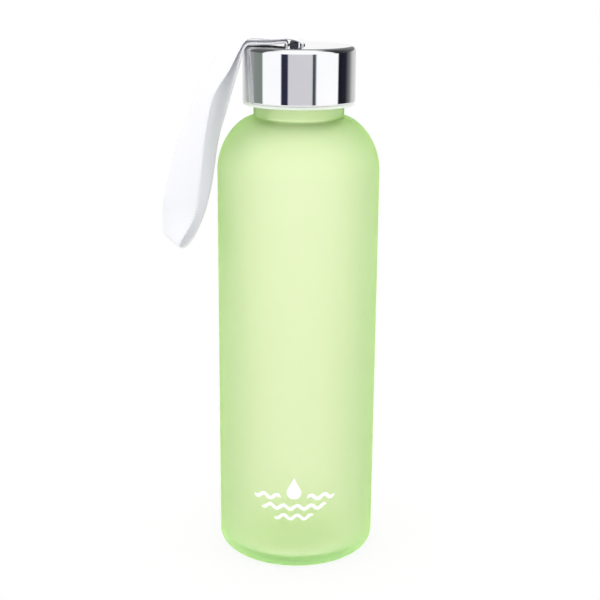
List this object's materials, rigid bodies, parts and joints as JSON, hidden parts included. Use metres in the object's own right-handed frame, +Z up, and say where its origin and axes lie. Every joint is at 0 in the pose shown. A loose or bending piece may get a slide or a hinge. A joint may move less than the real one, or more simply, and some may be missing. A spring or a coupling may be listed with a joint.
{
  "type": "water bottle",
  "caption": "Slim frosted glass water bottle with a round shoulder, a polished metal screw cap and a flat webbing carrying loop.",
  "frame": {"origin": "centre of the base on the bottle's axis, in the plane it stands on", "axes": "+Z up along the bottle's axis, -Y to the front where the printed mark is, -X to the side the webbing loop hangs on"},
  "size_m": [0.0883, 0.065, 0.2162],
  "materials": {
    "frosted_glass": "frosted light green, translucent",
    "polished_metal": "mirror polished",
    "milky_plastic": "milky polypropylene, satin",
    "silicone": "matt",
    "webbing": "white woven webbing",
    "thread": "white sewing thread",
    "print_ink": "white screen-printed ink"
  },
  "bodies": {
    "bottle": {"glass_bottle": "frosted_glass"},
    "seal": {"seal_ring": "silicone"},
    "cap": {"cap_shell": "polished_metal", "cap_liner": "milky_plastic", "strap_anchor": "webbing", "strap_stitching": "thread"},
    "strap_over_cap": {"strap_bridge": "webbing"},
    "strap_hanging": {"strap_loop": "webbing"}
  },
  "joints": [
    {"name": "cap_lift", "type": "slide", "parent": "bottle", "child": "seal", "axis": [0, 0, 1], "range_m": [0, 0.0201]},
    {"name": "cap_turn", "type": "hinge", "parent": "seal", "child": "cap", "pos_m": [0, 0, 0.2], "axis": [0, 0, 1], "range_deg": [0, 1800]},
    {"name": "strap_lift", "type": "hinge", "parent": "cap", "child": "strap_over_cap", "pos_m": [-0.0018, 0, 0.2115], "axis": [0, 1, 0], "range_deg": [0, 90], "deforming": ["strap_bridge"]},
    {"name": "strap_straighten", "type": "hinge", "parent": "strap_over_cap", "child": "strap_hanging", "pos_m": [-0.0215, 0, 0.2105], "axis": [0, 1, 0], "range_deg": [0, 67]}
  ],
  "couplings": [
    {"joint": "cap_lift", "follows": "cap_turn", "m_per_rad": 0.00063662},
    {"joint": "strap_straighten", "follows": "strap_lift", "ratio": 0.74}
  ]
}
